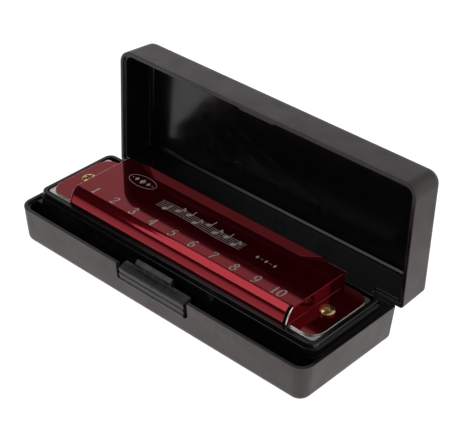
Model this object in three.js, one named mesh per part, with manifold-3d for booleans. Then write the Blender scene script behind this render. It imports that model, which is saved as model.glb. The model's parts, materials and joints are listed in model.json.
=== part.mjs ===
// A ten-hole diatonic harmonica lying in its fitted, hinged pocket case.
// Units are millimetres, +Z is up and +X runs along the row of holes, from hole 1 to hole 10.
// The origin is the middle of the case's flat underside. The case stands open at rest.

import * as THREE from 'three';
import { mergeVertices } from 'three/addons/utils/BufferGeometryUtils.js';
import Module from 'manifold-3d';

const wasm = await Module();
wasm.setup();

// ---- Driving dimensions: case -------------------------------------------------------------

const CASE_LENGTH = 109.7;
const CASE_DEPTH = 38.8;
// The free corners are rounder than the two corners beside the hinge.
const CASE_CORNER_RADIUS = 4.4;
const CASE_HINGE_CORNER_RADIUS = 1.2;
const CASE_WALL = 1.8;
const BASE_HEIGHT = 12;
const BASE_FLOOR = 1.05;
const TRAY_RIB_TOP = 1.8;
const TRAY_RIB_X = 30;
const TRAY_RIB_WIDTH = 4;
const BASE_DRAFT = 0.8;
const LID_HEIGHT = 12.6;
const LID_DRAFT = 0.5;
const LID_ROOF = 1.6;
const EDGE_FILLET = 2.4;
const PARTING_GAP = 0.05;

// The raised frame stands round the harmonica, nearer to the back wall than to the front wall.
const FRAME_HALF_LENGTH = 52.3;
const FRAME_FRONT = -12.9;
const FRAME_BACK = 15.8;
const FRAME_WALL = 1.3;
const FRAME_TOP = 15.3;
const FRAME_CORNER_RADIUS = 2.5;
const RIM_STEP_INSET = 1.7;
const RIM_STEP_DEPTH = 0.7;
const CHANNEL_FLOOR = 2.6;

// ---- Driving dimensions: hinge ------------------------------------------------------------

const HINGE_Y = 19.3;
const HINGE_Z = 9;
const LID_OPEN_DEG = 91.34;
const HINGE_X = 40;
const BARREL_RADIUS = 1.8;
const BARREL_LENGTH = 9.4;
const KNUCKLE_RADIUS = 1.9;
const KNUCKLE_LENGTH = 3.6;
const HINGE_NOTCH = 10;
const HINGE_NOTCH_FLOOR = 6.6;
const HINGE_NOTCH_FRONT = 17;
const PIN_RADIUS = 0.65;
const PIN_BORE_RADIUS = 0.95;

// ---- Driving dimensions: latch ------------------------------------------------------------

const LATCH_X = 0.3;
const NOTCH_WIDTH = 27.2;
const NOTCH_FLOOR = 6.35;
const NOTCH_CORNER_RADIUS = 1.4;
const LATCH_WIDTH = 24.8;
const LATCH_HOOK_WIDTH = 13.6;
const HOOK_X = -1.1;
const LATCH_FRONT = -19.2;
const RIB_PITCH = 1.75;
const RIB_HEIGHT = 0.35;
const RIB_COUNT = 3;
const CATCH_WIDTH = 13;
const CATCH_REACH = 0.5;
const LATCH_WALL_GAP = 0.35;
const LEAF_THICKNESS = 1.1;
const THUMB_TOP = 10.9;
const LATCH_SHOULDER = 11.8;
const HOOK_BARB = 13.2;
const HOOK_TOP = 14.1;

// ---- Driving dimensions: harmonica --------------------------------------------------------

const BODY_LENGTH = 101.5;
const BODY_FRONT = -10.97;
const BODY_BACK = 13.23;
const BODY_MIDDLE_Z = 10.95;
const PLATE_CORNER_RADIUS = 1;
const COVER_CORNER_RADIUS = 4.4;
const COVER_SETBACK = 0.55;
const COMB_THICKNESS = 6.2;
const PLATE_THICKNESS = 0.9;
const COVER_SHEET = 0.45;
const STACK_GAP = 0.03;
const HOLE_COUNT = 10;
const HOLE_PITCH = 7.73;
const CHANNEL_WIDTH = 5.4;
const LONGEST_CHANNEL = 20.5;
const SHORTEST_CHANNEL = 15;

// The raised part of a cover plate.
const DOME_LEFT = -40.8;
const DOME_RIGHT = 42;
const DOME_HEIGHT = 4.6;
const DOME_TOP_FRONT = -8.2;
const DOME_LIP_FRONT = -11.35;
const DOME_BACK = 12.7;
const FLARE_CREASE = 9.55;
const FLARE_RISE = 0.75;
const LEFT_SLIT_WIDTH = 0.2;
const RIGHT_SLIT_WIDTH = 0.8;

// ---- Driving dimensions: reeds and fasteners ----------------------------------------------

const REED_THICKNESS = 0.3;
const REED_PLATE_GAP = 0.2;
const REED_TONGUE_WIDTH = 1.9;
const REED_PAD_WIDTH = 2.9;
const REED_PAD_LENGTH = 3.2;
const REED_PAD_END = 1.1;
const LONGEST_REED = 15.5;
const SHORTEST_REED = 9.5;
const REED_SLOT_CLEARANCE = 0.2;
const RIVET_RADIUS = 0.5;
const RIVET_BORE_RADIUS = 0.8;
const RIVET_HEAD_RADIUS = 1.05;
const RIVET_HEAD_HEIGHT = 0.35;
const NAIL_RADIUS = 0.45;
const NAIL_BORE_RADIUS = 0.7;
const NAIL_HEAD_RADIUS = 1.1;
const NAIL_HEAD_HEIGHT = 0.4;
const NAIL_LENGTH = 3;
const SCREW_X = 45.6;
const SCREW_Y = 0.8;
const SCREW_HEAD_RADIUS = 2.3;
const SCREW_HEAD_HEIGHT = 1.3;
const SCREW_SHANK_RADIUS = 1;
const SCREW_BORE_RADIUS = 1.3;
const NUT_RADIUS = 2.2;
const NUT_HEIGHT = 1.5;
const SEAT_GAP = 0.05;

const ROUND_STEPS = 12;
const SMALL_ROUND_STEPS = 8;
const CORNER_STEPS = 5;
const SMALLEST_CORNER_RADIUS = 0.4;
const CUT_MARGIN = 1;

// ---- Solids -------------------------------------------------------------------------------

function toSolid(geometry) {
  const bare = geometry.clone();
  bare.deleteAttribute('normal');
  bare.deleteAttribute('uv');
  const merged = mergeVertices(bare, 1e-4);
  return new wasm.Manifold(new wasm.Mesh({
    numProp: 3,
    vertProperties: new Float32Array(merged.attributes.position.array),
    triVerts: new Uint32Array(merged.index.array),
  }));
}

function toGeometry(solid) {
  const mesh = solid.getMesh();
  const geometry = new THREE.BufferGeometry();
  geometry.setAttribute('position', new THREE.Float32BufferAttribute(mesh.vertProperties, 3));
  geometry.setIndex(new THREE.Uint32BufferAttribute(mesh.triVerts, 1));
  geometry.computeVertexNormals();
  return geometry;
}

function joined(...solids) {
  return solids.reduce((whole, piece) => whole.add(piece));
}

function cut(solid, ...tools) {
  return tools.reduce((rest, tool) => rest.subtract(tool), solid);
}

// A box between two opposite corners.
function box(low, high) {
  const size = high.map((value, axis) => value - low[axis]);
  const middle = high.map((value, axis) => (value + low[axis]) / 2);
  return toSolid(new THREE.BoxGeometry(...size).translate(...middle));
}

// A round bar along Z or X, whose middle is the given point.
function bar(radius, length, [x, y, z], steps = ROUND_STEPS, alongX = false) {
  const geometry = new THREE.CylinderGeometry(radius, radius, length, steps);
  if (alongX) geometry.rotateZ(Math.PI / 2);
  else geometry.rotateX(Math.PI / 2);
  return toSolid(geometry.translate(x, y, z));
}

// A turned piece: the profile lists [radius, height] and starts and ends on the axis.
function turned(profile, x, y, z, steps) {
  const points = profile.map(([radius, height]) => new THREE.Vector2(radius, height));
  return toSolid(new THREE.LatheGeometry(points, steps).rotateX(Math.PI / 2).translate(x, y, z));
}

// A flat outline in X and Y, thickened upwards from a height.
function slab(outline, bottom, thickness) {
  const options = { depth: thickness, bevelEnabled: false, curveSegments: CORNER_STEPS };
  return toSolid(new THREE.ExtrudeGeometry(outline, options).translate(0, 0, bottom));
}

// A section of [y, z] points drawn out along X.
function drawnOut(section, left, right) {
  const shape = new THREE.Shape(section.map(([y, z]) => new THREE.Vector2(y, z)));
  const geometry = new THREE.ExtrudeGeometry(shape, { depth: right - left, bevelEnabled: false });
  const yzToWorld = new THREE.Matrix4().set(0, 0, 1, left, 1, 0, 0, 0, 0, 1, 0, 0, 0, 0, 0, 1);
  return toSolid(geometry.applyMatrix4(yzToWorld));
}

function roundedOutline(left, right, front, back, radius) {
  const shape = new THREE.Shape();
  const quarter = Math.PI / 2;
  shape.moveTo(left + radius, front);
  shape.absarc(right - radius, front + radius, radius, -quarter, 0);
  shape.absarc(right - radius, back - radius, radius, 0, quarter);
  shape.absarc(left + radius, back - radius, radius, quarter, 2 * quarter);
  shape.absarc(left + radius, front + radius, radius, 2 * quarter, 3 * quarter);
  return shape;
}

// A case-sized box with rounded upright corners whose walls follow [height, inset] steps.
function moulded(profile) {
  const positions = [];
  const index = [];
  const perRing = 4 * (CORNER_STEPS + 1);
  for (const [height, inset] of profile) {
    for (let corner = 0; corner < 4; corner += 1) {
      const signX = corner === 1 || corner === 2 ? -1 : 1;
      const signY = corner >= 2 ? -1 : 1;
      const radius = signY > 0 ? CASE_HINGE_CORNER_RADIUS : CASE_CORNER_RADIUS;
      const ringRadius = Math.max(radius - inset, SMALLEST_CORNER_RADIUS);
      const halfLength = CASE_LENGTH / 2 - inset - ringRadius;
      const halfDepth = CASE_DEPTH / 2 - inset - ringRadius;
      for (let step = 0; step <= CORNER_STEPS; step += 1) {
        const angle = (corner + step / CORNER_STEPS) * Math.PI / 2;
        positions.push(signX * halfLength + ringRadius * Math.cos(angle));
        positions.push(signY * halfDepth + ringRadius * Math.sin(angle), height);
      }
    }
  }
  for (let ring = 0; ring < profile.length - 1; ring += 1) {
    for (let point = 0; point < perRing; point += 1) {
      const a = ring * perRing + point;
      const b = ring * perRing + (point + 1) % perRing;
      index.push(a, b, b + perRing, a, b + perRing, a + perRing);
    }
  }
  const top = (profile.length - 1) * perRing;
  for (let point = 1; point < perRing - 1; point += 1) {
    index.push(0, point + 1, point);
    index.push(top, top + point, top + point + 1);
  }
  const geometry = new THREE.BufferGeometry();
  geometry.setAttribute('position', new THREE.Float32BufferAttribute(positions, 3));
  geometry.setIndex(index);
  return toSolid(geometry);
}

// ---- Materials ----------------------------------------------------------------------------

function finish(color, metalness, roughness) {
  return () => new THREE.MeshStandardMaterial({ color, metalness, roughness });
}

const blackPlastic = finish(0x1a1919, 0, 0.45);
const redMetal = finish(0x6d0d1a, 0.9, 0.14);
const plateMetal = finish(0xc9c5ba, 0.9, 0.3);
const combPlastic = finish(0x141314, 0, 0.4);
const brass = finish(0xb9924a, 0.9, 0.28);
const steel = finish(0x8c8d90, 0.9, 0.35);

function named(name, solid, material) {
  const mesh = new THREE.Mesh(toGeometry(solid), material());
  mesh.name = name;
  return mesh;
}

// ---- Case ---------------------------------------------------------------------------------

const HALF_CASE = CASE_LENGTH / 2;
const CASE_FRONT = -CASE_DEPTH / 2;
const LID_SEAT = BASE_HEIGHT + PARTING_GAP;
const LID_TOP = BASE_HEIGHT + LID_HEIGHT;
const FILLET_STEPS = 3;

// Steps of a quarter-round edge, from the flat face out to the wall.
function edgeRound(flatHeight, wallInset, upwards) {
  const steps = [];
  for (let step = 0; step <= FILLET_STEPS; step += 1) {
    const angle = (step / FILLET_STEPS) * Math.PI / 2;
    const rise = EDGE_FILLET * (1 - Math.cos(angle));
    steps.push([flatHeight + (upwards ? rise : -rise), wallInset + EDGE_FILLET * (1 - Math.sin(angle))]);
  }
  return steps;
}

function hingeSides(make) {
  return [-HINGE_X, HINGE_X].flatMap(make);
}

function caseBase() {
  const profile = [...edgeRound(0, BASE_DRAFT, true), [BASE_HEIGHT, 0]];
  const body = moulded(profile);
  const rimStep = moulded([
    [BASE_HEIGHT - RIM_STEP_DEPTH, RIM_STEP_INSET], [BASE_HEIGHT + CUT_MARGIN, RIM_STEP_INSET],
  ]);
  const frame = slab(
    roundedOutline(-FRAME_HALF_LENGTH, FRAME_HALF_LENGTH, FRAME_FRONT, FRAME_BACK, FRAME_CORNER_RADIUS),
    BASE_FLOOR / 2, FRAME_TOP - BASE_FLOOR / 2,
  );
  const tray = slab(
    roundedOutline(
      -FRAME_HALF_LENGTH + FRAME_WALL, FRAME_HALF_LENGTH - FRAME_WALL,
      FRAME_FRONT + FRAME_WALL, FRAME_BACK - FRAME_WALL, FRAME_CORNER_RADIUS - FRAME_WALL,
    ),
    BASE_FLOOR, FRAME_TOP,
  );
  const wallInside = moulded([
    [CHANNEL_FLOOR, CASE_WALL], [FRAME_TOP + CUT_MARGIN, CASE_WALL],
  ]);
  const behindChannel = box([-HALF_CASE, FRAME_FRONT, 0], [HALF_CASE, CASE_DEPTH, 2 * FRAME_TOP]);
  const channel = cut(wallInside, behindChannel);
  const notchOutline = roundedOutline(
    LATCH_X - NOTCH_WIDTH / 2, LATCH_X + NOTCH_WIDTH / 2, NOTCH_FLOOR, FRAME_TOP, NOTCH_CORNER_RADIUS,
  );
  const notchOptions = { depth: 2 * CASE_WALL, bevelEnabled: false, curveSegments: CORNER_STEPS };
  const notch = toSolid(
    new THREE.ExtrudeGeometry(notchOutline, notchOptions)
      .rotateX(Math.PI / 2).translate(0, CASE_FRONT + 1.5 * CASE_WALL, 0),
  );
  const knuckles = hingeSides((x) => [-1, 1].map((side) => {
    const middle = x + side * (HINGE_NOTCH + KNUCKLE_LENGTH) / 2;
    return bar(KNUCKLE_RADIUS, KNUCKLE_LENGTH, [middle, HINGE_Y, HINGE_Z], ROUND_STEPS, true);
  }));
  const hingeNotches = hingeSides((x) => [box(
    [x - HINGE_NOTCH / 2, HINGE_NOTCH_FRONT, HINGE_NOTCH_FLOOR],
    [x + HINGE_NOTCH / 2, HINGE_Y + 2 * KNUCKLE_RADIUS, BASE_HEIGHT + CUT_MARGIN],
  )]);
  const bores = hingeSides((x) => [
    bar(PIN_BORE_RADIUS, HINGE_NOTCH + 4 * KNUCKLE_LENGTH, [x, HINGE_Y, HINGE_Z], ROUND_STEPS, true),
  ]);
  // Two low ribs across the tray carry the flat of the lower cover.
  const trayRibs = [-TRAY_RIB_X, TRAY_RIB_X].map((x) => box(
    [x - TRAY_RIB_WIDTH / 2, FRAME_FRONT + FRAME_WALL / 2, BASE_FLOOR / 2],
    [x + TRAY_RIB_WIDTH / 2, FLARE_CREASE - CUT_MARGIN, TRAY_RIB_TOP],
  ));
  const stepped = joined(cut(body, rimStep), frame, ...knuckles);
  const carved = cut(stepped, tray, channel, notch, ...hingeNotches, ...bores);
  return named('case_base', joined(carved, ...trayRibs), blackPlastic);
}

// The lid is drawn shut, on top of the base, and its group then swings it open.
function caseLid() {
  const shell = moulded([
    [LID_SEAT, 0], ...edgeRound(LID_TOP, LID_DRAFT, false).reverse(),
  ]);
  const hollow = moulded([
    [LID_SEAT - CUT_MARGIN, CASE_WALL],
    [LID_TOP - LID_ROOF - EDGE_FILLET / 2, CASE_WALL + LID_DRAFT],
    [LID_TOP - LID_ROOF, CASE_WALL + LID_DRAFT + EDGE_FILLET / 2],
  ]);
  const arms = hingeSides((x) => [
    box(
      [x - BARREL_LENGTH / 2, HINGE_Y - BARREL_RADIUS, HINGE_Z],
      [x + BARREL_LENGTH / 2, CASE_DEPTH / 2, LID_SEAT + CUT_MARGIN],
    ),
    bar(BARREL_RADIUS, BARREL_LENGTH, [x, HINGE_Y, HINGE_Z], ROUND_STEPS, true),
  ]);
  const bores = hingeSides((x) => [
    bar(PIN_BORE_RADIUS, 2 * BARREL_LENGTH, [x, HINGE_Y, HINGE_Z], ROUND_STEPS, true),
  ]);
  const wallInside = CASE_FRONT + CASE_WALL;
  const catchLedge = drawnOut([
    [wallInside - CASE_WALL / 2, LID_SEAT + 0.2], [wallInside + CATCH_REACH, LID_SEAT + 0.2],
    [wallInside + CATCH_REACH, LID_SEAT + 0.6], [wallInside - CASE_WALL / 2, LID_SEAT + 1.4],
  ], HOOK_X - CATCH_WIDTH / 2, HOOK_X + CATCH_WIDTH / 2);
  return named('case_lid', cut(joined(cut(shell, hollow), catchLedge, ...arms), ...bores), blackPlastic);
}

function hingePins() {
  const length = HINGE_NOTCH + 2 * KNUCKLE_LENGTH - 0.4;
  return [['hinge_pin_left', -HINGE_X], ['hinge_pin_right', HINGE_X]].map(
    ([name, x]) => named(name, bar(PIN_RADIUS, length, [x, HINGE_Y, HINGE_Z], ROUND_STEPS, true), steel),
  );
}

// A springy tongue behind the front wall, with a ribbed thumb piece and a hook above it.
function caseLatch() {
  const leafFront = CASE_FRONT + CASE_WALL + LATCH_WALL_GAP;
  const leafBack = leafFront + LEAF_THICKNESS;
  const hookBack = leafBack + 0.3;
  const left = LATCH_X - LATCH_WIDTH / 2;
  const right = LATCH_X + LATCH_WIDTH / 2;
  const leafFoot = CHANNEL_FLOOR + 0.3;
  const thumbFoot = NOTCH_FLOOR + 0.3;
  const leaf = drawnOut([
    [leafFront, leafFoot], [leafBack, leafFoot], [leafBack, LATCH_SHOULDER], [leafFront, LATCH_SHOULDER],
  ], left, right);
  const thumb = drawnOut([
    [LATCH_FRONT, thumbFoot], [leafBack, thumbFoot], [leafBack, LATCH_SHOULDER],
    [leafFront, LATCH_SHOULDER], [LATCH_FRONT, THUMB_TOP],
  ], left, right);
  const hook = drawnOut([
    [leafFront + 0.35, LATCH_SHOULDER - 0.5], [hookBack, LATCH_SHOULDER - 0.5], [hookBack, HOOK_TOP],
    [leafFront + 0.8, HOOK_TOP], [leafFront + 0.1, HOOK_BARB], [leafFront + 0.35, HOOK_BARB - 0.2],
  ], HOOK_X - LATCH_HOOK_WIDTH / 2, HOOK_X + LATCH_HOOK_WIDTH / 2);
  const ribs = Array.from({ length: RIB_COUNT }, (_, rib) => {
    const middle = THUMB_TOP - 0.3 - rib * RIB_PITCH;
    return drawnOut([
      [LATCH_FRONT - RIB_HEIGHT, middle - 0.2], [LATCH_FRONT + 0.2, middle - 0.4],
      [LATCH_FRONT + 0.2, middle + 0.4], [LATCH_FRONT - RIB_HEIGHT, middle + 0.2],
    ], left, right);
  });
  return named('case_latch', joined(leaf, thumb, hook, ...ribs), blackPlastic);
}

// ---- Harmonica ----------------------------------------------------------------------------

const COMB_TOP = COMB_THICKNESS / 2;
const PLATE_BOTTOM = COMB_TOP + STACK_GAP;
const PLATE_TOP = PLATE_BOTTOM + PLATE_THICKNESS;
const COVER_BOTTOM = PLATE_TOP + STACK_GAP;
const COVER_TOP = COVER_BOTTOM + COVER_SHEET;
const SCREW_PLACES = [-SCREW_X, SCREW_X];
const holes = Array.from({ length: HOLE_COUNT }, (_, hole) => hole);

function holeX(hole) {
  return (hole - (HOLE_COUNT - 1) / 2) * HOLE_PITCH;
}

// Low notes have long reeds and high notes have short ones.
function graded(longest, shortest, hole) {
  return longest + (shortest - longest) * hole / (HOLE_COUNT - 1);
}

function screwBores(low, high) {
  return SCREW_PLACES.map((x) => bar(SCREW_BORE_RADIUS, high - low, [x, SCREW_Y, (low + high) / 2]));
}

function bodyOutline() {
  const half = BODY_LENGTH / 2;
  return roundedOutline(-half, half, BODY_FRONT, BODY_BACK, PLATE_CORNER_RADIUS);
}

// The cover's flange stands back from the front of the plates and has rounder corners.
function flangeOutline() {
  const half = BODY_LENGTH / 2;
  return roundedOutline(-half, half, BODY_FRONT + COVER_SETBACK, BODY_BACK, COVER_CORNER_RADIUS);
}

// Places where nails hold a reed plate down on the comb: between channels, and at the back.
const nailPlaces = [
  [(holeX(2) + holeX(3)) / 2, BODY_FRONT + 2.2],
  [(holeX(6) + holeX(7)) / 2, BODY_FRONT + 2.2],
  [holeX(7), BODY_BACK - 2],
];

function comb() {
  const half = COMB_THICKNESS / 2;
  const channels = holes.map((hole) => {
    const length = graded(LONGEST_CHANNEL, SHORTEST_CHANNEL, hole);
    return box(
      [holeX(hole) - CHANNEL_WIDTH / 2, BODY_FRONT - CUT_MARGIN, -half - CUT_MARGIN],
      [holeX(hole) + CHANNEL_WIDTH / 2, BODY_FRONT + length, half + CUT_MARGIN],
    );
  });
  const nailBores = nailPlaces.flatMap(([x, y]) => [-1, 1].map(
    (side) => bar(NAIL_BORE_RADIUS, NAIL_LENGTH, [x, y, side * half], SMALL_ROUND_STEPS),
  ));
  const plate = slab(bodyOutline(), -half, COMB_THICKNESS);
  return cut(plate, ...channels, ...nailBores, ...screwBores(-half - CUT_MARGIN, half + CUT_MARGIN));
}

// A blow reed is riveted at the back of its channel and a draw reed at the front.
const reedKinds = {
  blow: { turn: 1, rivetY: (hole) => BODY_FRONT + graded(LONGEST_CHANNEL, SHORTEST_CHANNEL, hole) - 1.9 },
  draw: { turn: -1, rivetY: () => BODY_FRONT + 2.6 },
};

function reedLength(hole) {
  return graded(LONGEST_REED, SHORTEST_REED, hole);
}

function reedPlate(kind) {
  const { turn, rivetY } = reedKinds[kind];
  const slots = holes.map((hole) => {
    const halfWidth = REED_TONGUE_WIDTH / 2 + REED_SLOT_CLEARANCE;
    const root = rivetY(hole) - turn * REED_PAD_LENGTH / 2;
    const tip = rivetY(hole) - turn * (reedLength(hole) + REED_SLOT_CLEARANCE);
    return box(
      [holeX(hole) - halfWidth, Math.min(root, tip), PLATE_BOTTOM - CUT_MARGIN],
      [holeX(hole) + halfWidth, Math.max(root, tip), PLATE_TOP + CUT_MARGIN],
    );
  });
  const smallBores = [
    ...holes.map((hole) => [RIVET_BORE_RADIUS, holeX(hole), rivetY(hole)]),
    ...nailPlaces.map(([x, y]) => [NAIL_BORE_RADIUS, x, y]),
  ].map(([radius, x, y]) => bar(radius, 4 * PLATE_THICKNESS, [x, y, PLATE_BOTTOM], SMALL_ROUND_STEPS));
  const plate = slab(bodyOutline(), PLATE_BOTTOM, PLATE_THICKNESS);
  return cut(plate, ...slots, ...smallBores, ...screwBores(0, 2 * PLATE_TOP));
}

// A brass tongue with a wider pad round its rivet. Its lower face is at the given height.
function reed(kind, hole, bottom) {
  const { turn, rivetY } = reedKinds[kind];
  const x = holeX(hole);
  const y = rivetY(hole);
  const halfPad = REED_PAD_WIDTH / 2;
  const halfTongue = REED_TONGUE_WIDTH / 2;
  const root = REED_PAD_LENGTH / 2;
  const tip = reedLength(hole);
  const side = [[halfPad, -REED_PAD_END], [halfPad, REED_PAD_END], [halfTongue, root], [halfTongue, tip]];
  const otherSide = side.map(([across, along]) => [-across, along]).reverse();
  const outline = new THREE.Shape(
    [...side, ...otherSide].map(([across, along]) => new THREE.Vector2(x + across, y - turn * along)),
  );
  const bore = bar(RIVET_BORE_RADIUS, 4 * PLATE_THICKNESS, [x, y, bottom], SMALL_ROUND_STEPS);
  return cut(slab(outline, bottom, REED_THICKNESS), bore);
}

// A rivet goes through its reed and the plate, with a head on each side.
function rivet(kind, hole, low, high) {
  const profile = [
    [0, low - RIVET_HEAD_HEIGHT], [RIVET_HEAD_RADIUS * 0.8, low - RIVET_HEAD_HEIGHT],
    [RIVET_HEAD_RADIUS, low], [RIVET_RADIUS, low], [RIVET_RADIUS, high], [RIVET_HEAD_RADIUS, high],
    [RIVET_HEAD_RADIUS * 0.8, high + RIVET_HEAD_HEIGHT], [0, high + RIVET_HEAD_HEIGHT],
  ];
  return turned(profile, holeX(hole), reedKinds[kind].rivetY(hole), 0, SMALL_ROUND_STEPS);
}

function nail([x, y]) {
  const seat = PLATE_TOP + SEAT_GAP;
  const point = COMB_TOP - NAIL_LENGTH / 2 + 0.3;
  return turned([
    [0, point], [NAIL_RADIUS, point + 2 * NAIL_RADIUS], [NAIL_RADIUS, seat], [NAIL_HEAD_RADIUS, seat],
    [NAIL_HEAD_RADIUS * 0.8, seat + NAIL_HEAD_HEIGHT], [0, seat + NAIL_HEAD_HEIGHT],
  ], x, y, 0, SMALL_ROUND_STEPS);
}

// Section of the raised part: flat on top, with a front lip that curves down to the reed plate
// and a back edge that flares up to let the sound out.
function domeSection(inset, back, bottom) {
  const top = COVER_TOP + DOME_HEIGHT - inset;
  const lipFront = DOME_LIP_FRONT + inset;
  const topFront = DOME_TOP_FRONT + inset / 2;
  const bendFront = topFront - 1.1;
  const lipMiddle = COVER_TOP + 2.2;
  const flare = FLARE_RISE * (back - FLARE_CREASE) / (DOME_BACK - FLARE_CREASE);
  return [
    [lipFront, bottom], [back, bottom], [back, top + flare], [FLARE_CREASE, top],
    [topFront, top], [bendFront, top - 0.35],
    [(bendFront + lipFront) / 2 - 0.25, (top + lipMiddle) / 2], [lipFront, lipMiddle],
  ];
}

// One cover plate, drawn right way up. The raised part is open at the back, to let the sound out.
function cover() {
  const flange = slab(flangeOutline(), COVER_BOTTOM, COVER_SHEET);
  const raised = drawnOut(domeSection(0, DOME_BACK, COVER_BOTTOM), DOME_LEFT, DOME_RIGHT);
  const hollow = drawnOut(
    domeSection(COVER_SHEET, DOME_BACK + CUT_MARGIN, COVER_BOTTOM - CUT_MARGIN),
    DOME_LEFT + COVER_SHEET, DOME_RIGHT - COVER_SHEET,
  );
  // The front lip is free of both end walls, from the bend downwards.
  const slits = [
    [DOME_LEFT + COVER_SHEET, LEFT_SLIT_WIDTH],
    [DOME_RIGHT - COVER_SHEET - RIGHT_SLIT_WIDTH, RIGHT_SLIT_WIDTH],
  ].map(([left, width]) => box(
    [left, DOME_LIP_FRONT - CUT_MARGIN, COVER_BOTTOM - CUT_MARGIN],
    [left + width, DOME_TOP_FRONT - COVER_SHEET / 2, COVER_TOP + 2 * DOME_HEIGHT],
  ));
  const bores = screwBores(COVER_BOTTOM - CUT_MARGIN, 2 * COVER_TOP);
  return cut(joined(flange, raised), hollow, ...slits, ...bores);
}

function coverScrew(x) {
  const seat = COVER_TOP + SEAT_GAP;
  const body = turned([
    [0, -COVER_TOP - NUT_HEIGHT], [SCREW_SHANK_RADIUS, -COVER_TOP - NUT_HEIGHT], [SCREW_SHANK_RADIUS, seat],
    [SCREW_HEAD_RADIUS, seat], [SCREW_HEAD_RADIUS, seat + 0.35], [SCREW_HEAD_RADIUS * 0.75, seat + 1],
    [0, seat + SCREW_HEAD_HEIGHT],
  ], x, SCREW_Y, 0, ROUND_STEPS);
  const slotDepth = 0.6;
  const slotHalf = 0.25;
  const crossHalf = 1.4;
  const bars = [[crossHalf, slotHalf], [slotHalf, crossHalf]].map(([halfX, halfY]) => box(
    [x - halfX, SCREW_Y - halfY, seat + SCREW_HEAD_HEIGHT - slotDepth],
    [x + halfX, SCREW_Y + halfY, seat + SCREW_HEAD_HEIGHT + CUT_MARGIN],
  ));
  return cut(body, ...bars);
}

function coverNut(x) {
  const top = -COVER_TOP - SEAT_GAP;
  const blank = bar(NUT_RADIUS, NUT_HEIGHT, [x, SCREW_Y, top - NUT_HEIGHT / 2], 6);
  return cut(blank, bar(SCREW_BORE_RADIUS, 2 * NUT_HEIGHT, [x, SCREW_Y, top - NUT_HEIGHT / 2]));
}

function underside(solid) {
  return solid.mirror([0, 0, 1]);
}

function harmonicaPieces() {
  const pieces = [
    named('comb', comb(), combPlastic),
    named('reed_plate_upper', reedPlate('blow'), plateMetal),
    named('reed_plate_lower', underside(reedPlate('draw')), plateMetal),
    named('cover_upper', cover(), redMetal),
    named('cover_lower', underside(cover()), redMetal),
    named('cover_screw_left', coverScrew(-SCREW_X), brass),
    named('cover_screw_right', coverScrew(SCREW_X), brass),
    named('cover_nut_left', coverNut(-SCREW_X), brass),
    named('cover_nut_right', coverNut(SCREW_X), brass),
  ];
  nailPlaces.forEach((place, count) => {
    pieces.push(named(`plate_nail_upper_${count + 1}`, nail(place), brass));
    pieces.push(named(`plate_nail_lower_${count + 1}`, underside(nail(place)), brass));
  });
  // Blow reeds hang under the upper plate, and draw reeds lie on the outside of the lower plate.
  const blowReed = PLATE_BOTTOM - REED_PLATE_GAP - REED_THICKNESS;
  const drawReed = PLATE_TOP + REED_PLATE_GAP;
  const headGap = 0.2;
  for (const hole of holes) {
    const blowRivet = rivet('blow', hole, blowReed - headGap, PLATE_TOP + SEAT_GAP);
    const drawRivet = rivet('draw', hole, PLATE_BOTTOM - SEAT_GAP, drawReed + REED_THICKNESS + headGap);
    pieces.push(named(`blow_reed_${hole + 1}`, reed('blow', hole, blowReed), brass));
    pieces.push(named(`draw_reed_${hole + 1}`, underside(reed('draw', hole, drawReed)), brass));
    pieces.push(named(`blow_rivet_${hole + 1}`, blowRivet, brass));
    pieces.push(named(`draw_rivet_${hole + 1}`, underside(drawRivet), brass));
  }
  return pieces;
}

// ---- Assembly -----------------------------------------------------------------------------

const harmonica = new THREE.Group();
harmonica.position.z = BODY_MIDDLE_Z;
harmonica.add(...harmonicaPieces());

const openLid = new THREE.Group();
const hingeToOrigin = new THREE.Group();
openLid.position.set(0, HINGE_Y, HINGE_Z);
openLid.rotation.x = -THREE.MathUtils.degToRad(LID_OPEN_DEG);
hingeToOrigin.position.set(0, -HINGE_Y, -HINGE_Z);
hingeToOrigin.add(caseLid());
openLid.add(hingeToOrigin);

const group = new THREE.Group();
group.add(caseBase(), caseLatch(), ...hingePins(), openLid, harmonica);

export default group;
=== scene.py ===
# A ten-hole harmonica in its hinged pocket case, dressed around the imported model.
# Shapes are drawn in millimetres and turned into metres when a piece is finished.

import json
import math

import bmesh
import bpy
from mathutils import Matrix, Vector
from mathutils.bvhtree import BVHTree


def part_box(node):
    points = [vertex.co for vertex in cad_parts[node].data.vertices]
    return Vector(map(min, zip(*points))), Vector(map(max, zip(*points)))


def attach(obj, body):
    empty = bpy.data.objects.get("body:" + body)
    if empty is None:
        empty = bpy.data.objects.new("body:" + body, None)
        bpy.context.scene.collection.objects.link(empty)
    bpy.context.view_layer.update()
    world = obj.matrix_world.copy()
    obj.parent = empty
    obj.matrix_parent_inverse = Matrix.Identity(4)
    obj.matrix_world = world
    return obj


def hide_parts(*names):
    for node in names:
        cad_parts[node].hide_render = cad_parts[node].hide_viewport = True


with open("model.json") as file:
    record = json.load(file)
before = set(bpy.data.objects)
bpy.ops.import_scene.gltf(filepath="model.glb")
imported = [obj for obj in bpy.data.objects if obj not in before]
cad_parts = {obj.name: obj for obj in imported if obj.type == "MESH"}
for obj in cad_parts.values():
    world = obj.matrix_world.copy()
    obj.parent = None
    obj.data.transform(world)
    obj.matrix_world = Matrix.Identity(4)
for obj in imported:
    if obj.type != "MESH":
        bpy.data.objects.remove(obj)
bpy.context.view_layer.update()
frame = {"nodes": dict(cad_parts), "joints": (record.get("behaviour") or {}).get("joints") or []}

MM = 0.001


def low_high(node):
    """The corners of a CAD node in millimetres."""
    low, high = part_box(node)
    return low / MM, high / MM


# ---- Sizes of the case ------------------------------------------------------------------

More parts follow.
